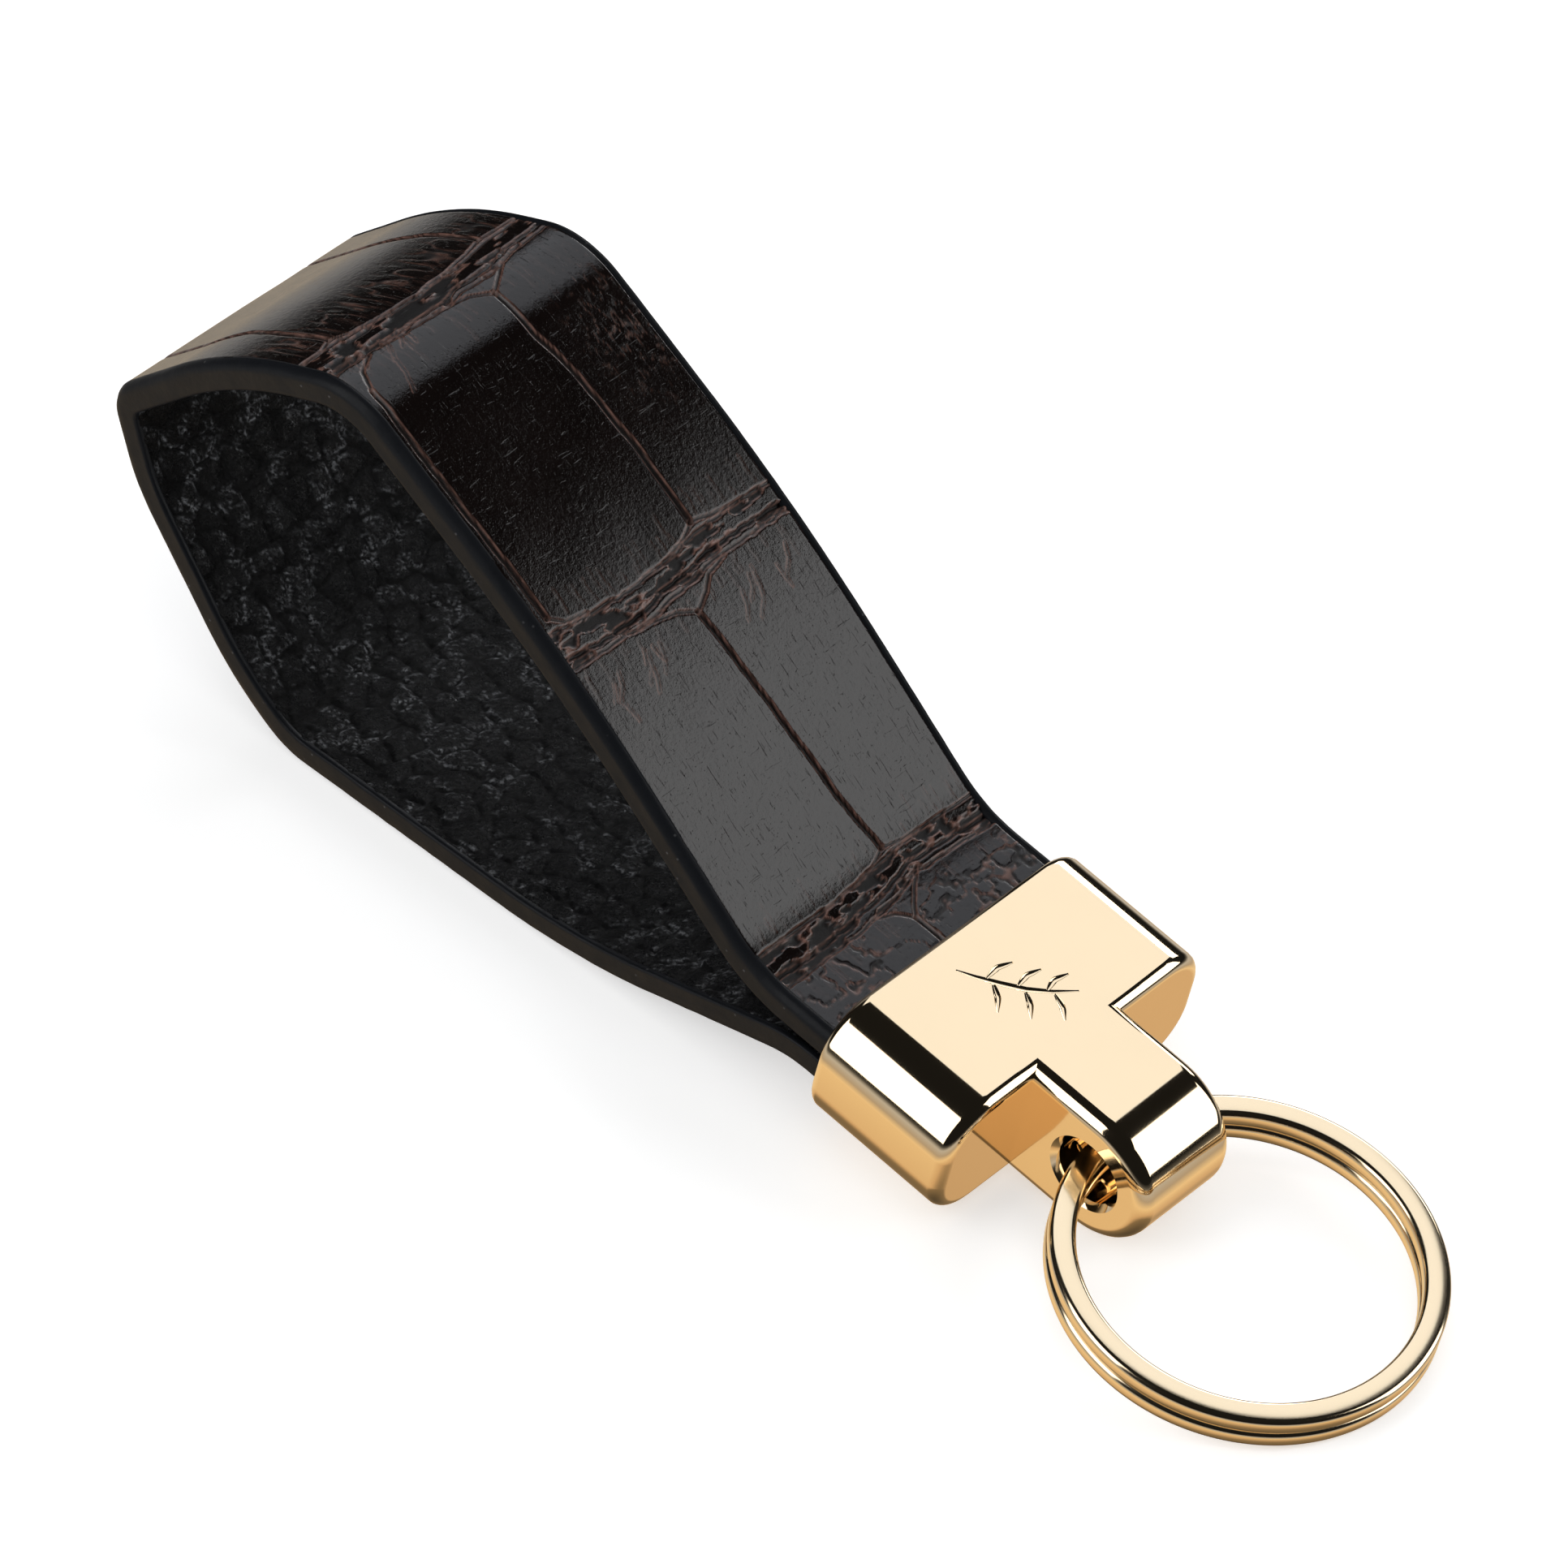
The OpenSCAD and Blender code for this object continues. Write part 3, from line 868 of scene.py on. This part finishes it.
# a plain leafy sprig engraved on the front face: the run of each stroke, measured from the hinge
SPRIG_MM = (
    ((-16.6, -2.6), (-15.2, -1.9), (-13.6, -0.9), (-12.0, 0.2), (-10.6, 1.6), (-9.4, 3.2)),
    ((-14.6, -1.5), (-14.8, 0.0), (-14.4, 1.3)),
    ((-14.2, -1.2), (-12.9, -2.0), (-11.9, -3.1)),
    ((-12.6, -0.2), (-12.9, 1.2), (-12.6, 2.5)),
    ((-12.1, 0.1), (-10.9, -0.6), (-9.9, -1.6)),
    ((-10.9, 1.2), (-11.3, 2.5), (-11.0, 3.8)),
    ((-10.5, 1.6), (-9.2, 1.1), (-8.2, 0.3)),
)


def engraved_stroke(points, height):
    """A groove cutter that swells in the middle of its run and tapers to both ends."""
    thin, swell, flat = 0.07, 0.19, 0.55
    points = np.array(points)
    knots = np.linspace(0, 1, len(points))
    t = np.linspace(0, 1, 6 * len(points))
    x, y = np.interp(t, knots, points[:, 0]), np.interp(t, knots, points[:, 1])
    dx, dy = np.gradient(x), np.gradient(y)
    size = np.hypot(dx, dy)
    sections = []
    turn = np.linspace(0, 2 * pi, 12, endpoint=False)
    for k, share in enumerate(t):
        r = thin + swell * sin(pi * min(max(share, 0.02), 0.98))
        side = np.array((-dy[k], dx[k])) / size[k]
        sections.append([((x[k] + r * cos(a) * side[0]) * MM,
                          (y[k] + r * cos(a) * side[1]) * MM,
                          height + flat * r * sin(a) * MM) for a in turn])
    return tube("stroke", sections)


def crossbar_solid(clamp):
    """The crossbar, with a fillet round its mouth and its ring-side face."""
    mouth = -clamp.reach - clamp.length
    f, g = clamp.mouth_fillet, clamp.fillet
    sections = []
    angles = np.radians(np.linspace(0, 90, 7))
    stations = [(mouth + f - f * cos(a), f - f * sin(a)) for a in angles]
    stations += [(-clamp.reach - g + g * cos(a), g - g * sin(a)) for a in angles[::-1]]
    for x, inset in stations:
        outline = rounded_outline(
            clamp.width / 2 - inset, clamp.thick / 2 - inset, clamp.corner - inset)
        sections.append([(x, y + SIDE_SHIFT_MM * MM, z) for y, z in outline])
    return tube("crossbar", sections)


def tongue_solid(clamp):
    """The tongue and its round knuckle, rounded along both sides."""
    root = 1.5 * MM
    w = clamp.tongue_width / 2
    c = clamp.chamfer
    back = -clamp.reach - root
    sections = []
    round_off = [(c - c * cos(a), c - c * sin(a))
                 for a in np.radians(np.linspace(0, 90, 6))]
    stations = [(-w + y, inset) for y, inset in round_off]
    stations += [(w - y, inset) for y, inset in reversed(round_off)]
    for y, inset in stations:
        r = clamp.thick / 2 - inset
        outline = [(back, -r)]
        outline += [(r * cos(a), r * sin(a)) for a in np.radians(np.linspace(-90, 90, 61))]
        outline.append((back, r))
        sections.append([(x, y, z) for x, z in outline])
    return tube("tongue", sections)


def lathe(name, profile, steps):
    """A closed solid turned about Z from (radius, height) points, the outer two on the axis."""
    sections = []
    for r, z in profile:
        r = max(r, 1e-7)
        sections.append([(r * cos(a), r * sin(a), z)
                         for a in np.linspace(0, 2 * pi, steps, endpoint=False)])
    return tube(name, sections)


def cut(obj, tool, operation="DIFFERENCE"):
    """Joins or cuts with another solid, which is then removed."""
    modifier = obj.modifiers.new("cut", "BOOLEAN")
    modifier.operation = operation
    modifier.object = tool
    modifier.solver = "EXACT"
    apply_modifiers(obj)
    bpy.data.objects.remove(tool)


def soften(obj, width):
    """Rounds the sharp edges a little and shades the flats flat."""
    bevel = obj.modifiers.new("soften", "BEVEL")
    bevel.width = width
    bevel.segments = 2
    bevel.limit_method = "ANGLE"
    bevel.angle_limit = radians(32)
    normals = obj.modifiers.new("normals", "WEIGHTED_NORMAL")
    normals.keep_sharp = True
    apply_modifiers(obj)
    obj.data.shade_smooth()


class KEYHOLDER_OT_clamp(Operator):
    """Make the T-shaped clamp and finish its screws"""

    bl_idname = "keyholder.clamp"
    bl_label = "Clamp"

    def execute(self, context):
        clamp = context.scene.keyholder_clamp
        strap = context.scene.keyholder_strap
        body = crossbar_solid(clamp)
        body.name = "gold_clamp"
        cut(body, tongue_solid(clamp), "UNION")
        slot = rounded_outline(
            strap.width / 2 + 0.1 * MM, whole_thickness(strap) + 0.45 * MM, 0.5 * MM, 5)
        mouth = -clamp.reach - clamp.length
        end_wall = 3.4 * MM
        slot = [[(x, y + SIDE_SHIFT_MM * MM, z) for y, z in slot]
                for x in (mouth - 1 * MM, -clamp.reach - end_wall)]
        cut(body, tube("slot", slot))
        w = clamp.tongue_width / 2
        flare = 0.5 * MM
        wide = clamp.hole + 2 * flare
        hole = lathe("hole", ((0, -w - flare), (wide, -w - flare), (clamp.hole, -w + flare),
                              (clamp.hole, w - flare), (wide, w + flare), (0, w + flare)), 72)
        hole.data.transform(Matrix.Rotation(radians(90), 4, "X"))
        cut(body, hole)
        head, shank, depth = 2.32 * MM, 1.27 * MM, 4 * MM
        screw_x, half_spacing_mm = -14.8 * MM, 7
        for side in (-1, 1):
            low = -clamp.thick / 2
            sink = lathe("sink", ((0, low - 1 * MM), (head, low - 1 * MM), (head, low),
                                  (shank, low + head - shank), (shank, low + depth),
                                  (0, low + depth)), 40)
            screw_y = (SIDE_SHIFT_MM + side * half_spacing_mm) * MM
            sink.data.transform(Matrix.Translation((screw_x, screw_y, 0)))
            cut(body, sink)
        for stroke in SPRIG_MM:
            cut(body, engraved_stroke(stroke, clamp.thick / 2))
        soften(body, 0.12 * MM)
        body.data.transform(Matrix.Translation(HINGE) @ Matrix.Rotation(clamp.tilt, 4, "Y"))
        gold = polished_gold("gold_plate", list(clamp.gold), 0.055)
        body.data.materials.clear()
        body.data.materials.append(gold)
        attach(body, STRAP_BODY)
        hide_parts("clamp")
        for node, material in (("clamp_screws", gold), ("strap_core", leather_board())):
            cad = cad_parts[node]
            cad.data.materials.clear()
            cad.data.materials.append(material)
        return {"FINISHED"}


class KEYHOLDER_OT_split_ring(Operator):
    """Make the split ring as one flat wire wound twice"""

    bl_idname = "keyholder.split_ring"
    bl_label = "Split Ring"

    def execute(self, context):
        ring = context.scene.keyholder_ring
        mean = ring.radius - ring.wire_width / 2
        pitch = ring.wire_height + ring.gap
        turns = 4 * pi - ring.crossing
        sections = []
        for a in np.linspace(ring.crossing / 2, ring.crossing / 2 + turns, 480):
            climb = smooth_step(2 * pi - ring.crossing / 2, 2 * pi + ring.crossing / 2, a)
            middle = -pitch / 2 + pitch * float(climb)
            outline = rounded_outline(ring.wire_width / 2, ring.wire_height / 2, ring.corner, 6)
            sections.append([((mean + r) * cos(a), (mean + r) * sin(a), middle + z)
                             for r, z in outline])
        obj = tube("gold_split_ring", sections)
        near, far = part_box("split_ring")
        half_high = pitch / 2 + ring.wire_height / 2
        top, back, sink = 5.4 * MM, 0.68 * MM, 0.35 * MM
        reach = mean + ring.radius - sink
        tilt = asin(top / hypot(reach, half_high)) - atan(half_high / reach)
        place = Vector((HINGE.x - back, (near.y + far.y) / 2, top))
        obj.data.transform(
            Matrix.Translation(place) @ Matrix.Rotation(tilt, 4, "Y")
            @ Matrix.Translation((mean, 0, 0)) @ Matrix.Rotation(ring.crossing_at, 4, "Z"))
        obj.data.materials.append(polished_gold("ring_gold", list(ring.gold), 0.12))
        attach(obj, RING_BODY)
        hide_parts("split_ring")
        return {"FINISHED"}


# ---------------- the studio


def softbox(name, direction, distance, size, strength, target, colour=(1, 1, 1)):
    """A rectangular light that faces the target from a direction."""
    data = bpy.data.lights.new(name, "AREA")
    data.shape = "RECTANGLE"
    data.size, data.size_y = size
    data.energy = strength * size[0] * size[1] * pi
    data.color = colour
    obj = bpy.data.objects.new(name, data)
    way = Vector(direction).normalized()
    obj.location = Vector(target) + way * distance
    obj.rotation_mode = "QUATERNION"
    obj.rotation_quaternion = way.to_track_quat("Z", "Y")
    bpy.context.scene.collection.objects.link(obj)
    return obj


COOL_LIGHT = (1.02, 1.05, 1.12)
# colours round the object from straight below (0) past the horizon (0.5)
SURROUNDINGS = (
    (0.0, (0.10, 0.077, 0.05)),
    (0.07, (0.24, 0.175, 0.10)),
    (0.10, (0.66, 0.45, 0.25)),
    (0.16, (0.86, 0.66, 0.39)),
    (0.24, (0.46, 0.39, 0.31)),
    (0.34, (0.52, 0.51, 0.50)),
    (0.41, (0.08, 0.078, 0.075)),
    (0.46, (0.010, 0.010, 0.010)),
)


def mirrored_surroundings(tree):
    """A dim even sky over a bright warm table that darkens underneath, as gloss mirrors them."""
    place = tree.nodes.new("ShaderNodeTexCoord")
    split = tree.nodes.new("ShaderNodeSeparateXYZ")
    height = tree.nodes.new("ShaderNodeMapRange")
    height.inputs["From Min"].default_value = -1.0
    ramp = tree.nodes.new("ShaderNodeValToRGB").color_ramp
    while len(ramp.elements) < len(SURROUNDINGS):
        ramp.elements.new(0.5)
    for element, (place_on_ramp, colour) in zip(ramp.elements, SURROUNDINGS, strict=True):
        element.position = place_on_ramp
        element.color = (*colour, 1)
    tree.links.new(place.outputs["Generated"], split.inputs[0])
    tree.links.new(split.outputs["Z"], height.inputs["Value"])
    tree.links.new(height.outputs["Result"], tree.nodes["Color Ramp"].inputs["Fac"])
    tree.links.new(tree.nodes["Color Ramp"].outputs["Color"], tree.nodes["Background"].inputs["Color"])


class KEYHOLDER_OT_studio(Operator):
    """Make the floor, the lights and the camera"""

    bl_idname = "keyholder.studio"
    bl_label = "Studio"

    def execute(self, context):
        studio = context.scene.keyholder_studio
        scene = context.scene
        bpy.ops.mesh.primitive_plane_add(size=6.0)
        floor = context.object
        floor.name = "studio_floor"
        n = Nodes("studio_floor")
        darker = [c * 0.99 for c in studio.floor]
        tone = n.mix(n.noise(n.object_place(), 3.0, 2), darker, list(studio.floor))
        n.shade(Base_Color=tone, Roughness=0.9, Specular_IOR_Level=0.1,
                Emission_Color=(1, 1, 1, 1), Emission_Strength=0.52)
        floor.data.materials.append(n.material)
        floor.visible_glossy = False

        world = bpy.data.worlds.new("studio_air")
        scene.world = world
        world.use_nodes = True
        mirrored_surroundings(world.node_tree)

        middle = (30 * MM, 0, 15 * MM)
        near = 0.9
        softbox("box_back_left", (-0.40, 0.56, 0.66), near, (0.62, 0.70), 1.0, middle, COOL_LIGHT)
        softbox("box_right", (0.676, 0.629, 0.381), near, (0.60, 0.76), 2.2, middle)
        softbox("box_front_left", (-0.44, -0.78, 0.42), near, (0.60, 1.0), 2.1, middle)
        softbox("strip_behind", (-0.25, 0.90, 0.36), near, (0.50, 0.24), 3.6, middle)
        softbox("fill_top", (0.1, -0.3, 1.0), 1.4, (1.6, 1.6), 0.9, middle).visible_glossy = False

        back = Vector((sin(studio.azimuth) * cos(studio.elevation),
                       -cos(studio.azimuth) * cos(studio.elevation),
                       sin(studio.elevation)))
        target = Vector((29.55 * MM, -3.2 * MM, 20.9 * MM))
        data = bpy.data.cameras.new("camera")
        data.lens = studio.lens
        data.sensor_width = 36.0
        data.clip_start = 0.05
        camera = bpy.data.objects.new("camera", data)
        camera.location = target + back * studio.distance
        camera.rotation_mode = "QUATERNION"
        turn = (-back).to_track_quat("-Z", "Y").to_matrix().to_4x4()
        camera.rotation_quaternion = (turn @ Matrix.Rotation(studio.roll, 4, "Z")).to_quaternion()
        scene.collection.objects.link(camera)
        scene.camera = camera
        scene.view_settings.view_transform = "Standard"
        return {"FINISHED"}


class KEYHOLDER_PT_panel(Panel):
    """Lists the pieces in the order in which they are made"""

    bl_label = "Key Holder"
    bl_idname = "KEYHOLDER_PT_panel"
    bl_space_type = "VIEW_3D"
    bl_region_type = "UI"
    bl_category = "Key Holder"

    def draw(self, context):
        for operator in OPERATORS:
            self.layout.operator(operator.bl_idname)


OPERATORS = (
    KEYHOLDER_OT_studio,
    KEYHOLDER_OT_clamp,
    KEYHOLDER_OT_split_ring,
    KEYHOLDER_OT_outer_leather,
    KEYHOLDER_OT_lining,
    KEYHOLDER_OT_edge_paint,
)
GROUPS = {
    "keyholder_strap": StrapSettings,
    "keyholder_clamp": ClampSettings,
    "keyholder_ring": RingSettings,
    "keyholder_studio": StudioSettings,
}


def register():
    for cls in (*GROUPS.values(), *OPERATORS, KEYHOLDER_PT_panel):
        bpy.utils.register_class(cls)
    for name, group in GROUPS.items():
        setattr(bpy.types.Scene, name, PointerProperty(type=group))


def unregister():
    for name in GROUPS:
        delattr(bpy.types.Scene, name)
    for cls in (KEYHOLDER_PT_panel, *reversed(OPERATORS), *reversed(GROUPS.values())):
        bpy.utils.unregister_class(cls)


def main():
    register()
    for operator in OPERATORS:
        group, name = operator.bl_idname.split(".")
        getattr(getattr(bpy.ops, group), name)()


if __name__ == "__main__":
    main()
